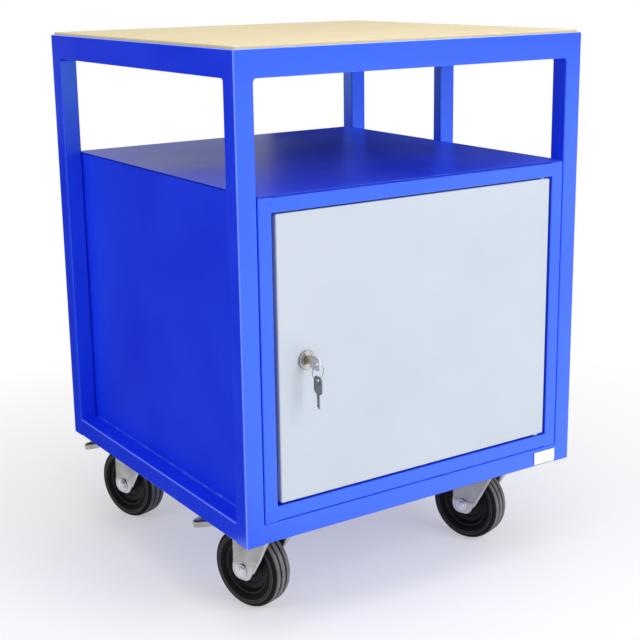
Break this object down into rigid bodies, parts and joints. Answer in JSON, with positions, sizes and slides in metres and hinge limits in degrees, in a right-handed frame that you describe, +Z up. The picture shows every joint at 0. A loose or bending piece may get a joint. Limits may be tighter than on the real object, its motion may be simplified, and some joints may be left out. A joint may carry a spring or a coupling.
{
  "type": "mobile workbench",
  "caption": "Mobile workbench: square-tube frame on swivel castors, framed wooden worktop, open shelf bay and a lockable cabinet with a pivoting door.",
  "frame": {"origin": "on the floor, under the middle of the bench as seen from above, keys and rear brake pedal counted", "axes": "+X to the right of someone facing the door, +Y to the rear, +Z up"},
  "size_m": [0.614, 0.6941, 0.85],
  "materials": {
    "blue_paint": "glossy blue powder coat",
    "grey_paint": "satin light grey powder coat",
    "wood": "bare pale wood board",
    "zinc": "zinc plated pressed steel",
    "chrome": "nickel plated lock flange",
    "brass": "worn nickel on brass",
    "rubber": "black solid rubber",
    "black_plastic": "black moulded plastic",
    "white_plastic": "pale moulded plastic"
  },
  "bodies": {
    "bench": {"post_front_left": "blue_paint", "post_front_right": "blue_paint", "post_rear_left": "blue_paint", "post_rear_right": "blue_paint", "post_right_middle": "blue_paint", "bottom_rail_front": "blue_paint", "bottom_rail_rear": "blue_paint", "bottom_rail_left": "blue_paint", "bottom_rail_right": "blue_paint", "rim_front": "blue_paint", "rim_rear": "blue_paint", "rim_left": "blue_paint", "rim_right": "blue_paint", "worktop_board": "wood", "cabinet_floor": "blue_paint", "cabinet_left_panel": "blue_paint", "cabinet_right_panel": "blue_paint", "cabinet_back_panel": "blue_paint", "shelf": "blue_paint", "front_stile_left": "blue_paint", "front_stile_right": "blue_paint", "front_rail_top": "blue_paint", "front_rail_bottom": "blue_paint", "corner_plate_front_left": "blue_paint", "castor_front_left_plate": "zinc", "corner_plate_front_right": "blue_paint", "castor_front_right_plate": "zinc", "corner_plate_rear_left": "blue_paint", "castor_rear_left_plate": "zinc", "corner_plate_rear_right": "blue_paint", "castor_rear_right_plate": "zinc"},
    "door": {"door_pan": "grey_paint", "door_pin_bottom": "white_plastic", "door_pin_top": "white_plastic", "lock_body": "chrome", "lock_nut": "zinc"},
    "lock_barrel": {"lock_plug": "brass", "lock_cam": "zinc", "key": "zinc"},
    "ring": {"key_ring": "zinc"},
    "second_key": {"spare_key": "zinc"},
    "castor_front_left": {"castor_front_left_fork": "zinc", "castor_front_left_axle": "zinc"},
    "castor_front_left_roller": {"castor_front_left_wheel": "black_plastic", "castor_front_left_tyre": "rubber"},
    "castor_front_left_brake": {"castor_front_left_pedal": "zinc"},
    "castor_front_right": {"castor_front_right_fork": "zinc", "castor_front_right_axle": "zinc"},
    "castor_front_right_roller": {"castor_front_right_wheel": "black_plastic", "castor_front_right_tyre": "rubber"},
    "castor_rear_left": {"castor_rear_left_fork": "zinc", "castor_rear_left_axle": "zinc"},
    "castor_rear_left_roller": {"castor_rear_left_wheel": "black_plastic", "castor_rear_left_tyre": "rubber"},
    "castor_rear_left_brake": {"castor_rear_left_pedal": "zinc"},
    "castor_rear_right": {"castor_rear_right_fork": "zinc", "castor_rear_right_axle": "zinc"},
    "castor_rear_right_roller": {"castor_rear_right_wheel": "black_plastic", "castor_rear_right_tyre": "rubber"}
  },
  "joints": [
    {"name": "door_hinge", "type": "hinge", "parent": "bench", "child": "door", "pos_m": [0.2382, -0.3018, 0.4188], "axis": [0, 0, 1], "range_deg": [0, 110]},
    {"name": "lock_turn", "type": "hinge", "parent": "door", "child": "lock_barrel", "pos_m": [-0.2032, -0.3098, 0.416], "axis": [0, -1, 0], "range_deg": [0, 90]},
    {"name": "ring_swing", "type": "hinge", "parent": "lock_barrel", "child": "ring", "pos_m": [-0.2032, -0.3391, 0.4141], "axis": [1, 0, 0], "range_deg": [-30, 12]},
    {"name": "second_key_swing", "type": "hinge", "parent": "ring", "child": "second_key", "pos_m": [-0.2032, -0.3391, 0.3951], "axis": [1, 0, 0], "range_deg": [-30, 12]},
    {"name": "castor_front_left_swivel", "type": "hinge", "parent": "bench", "child": "castor_front_left", "pos_m": [-0.215, -0.2178, 0.1385], "axis": [0, 0, 1], "continuous": true},
    {"name": "castor_front_left_spin", "type": "hinge", "parent": "castor_front_left", "child": "castor_front_left_roller", "pos_m": [-0.22582, -0.18451, 0.0625], "axis": [0.9511, 0.309, 0], "continuous": true},
    {"name": "castor_front_left_brake_press", "type": "hinge", "parent": "castor_front_left", "child": "castor_front_left_brake", "pos_m": [-0.22922, -0.17405, 0.13], "axis": [-0.9511, -0.309, 0], "range_deg": [0, 12]},
    {"name": "castor_front_right_swivel", "type": "hinge", "parent": "bench", "child": "castor_front_right", "pos_m": [0.215, -0.2178, 0.1385], "axis": [0, 0, 1], "continuous": true},
    {"name": "castor_front_right_spin", "type": "hinge", "parent": "castor_front_right", "child": "castor_front_right_roller", "pos_m": [0.20418, -0.18451, 0.0625], "axis": [0.9511, 0.309, 0], "continuous": true},
    {"name": "castor_rear_left_swivel", "type": "hinge", "parent": "bench", "child": "castor_rear_left", "pos_m": [-0.215, 0.1982, 0.1385], "axis": [0, 0, 1], "continuous": true},
    {"name": "castor_rear_left_spin", "type": "hinge", "parent": "castor_rear_left", "child": "castor_rear_left_roller", "pos_m": [-0.22582, 0.23149, 0.0625], "axis": [0.9511, 0.309, 0], "continuous": true},
    {"name": "castor_rear_left_brake_press", "type": "hinge", "parent": "castor_rear_left", "child": "castor_rear_left_brake", "pos_m": [-0.22922, 0.24195, 0.13], "axis": [-0.9511, -0.309, 0], "range_deg": [0, 12]},
    {"name": "castor_rear_right_swivel", "type": "hinge", "parent": "bench", "child": "castor_rear_right", "pos_m": [0.215, 0.1982, 0.1385], "axis": [0, 0, 1], "continuous": true},
    {"name": "castor_rear_right_spin", "type": "hinge", "parent": "castor_rear_right", "child": "castor_rear_right_roller", "pos_m": [0.20418, 0.23149, 0.0625], "axis": [0.9511, 0.309, 0], "continuous": true}
  ]
}
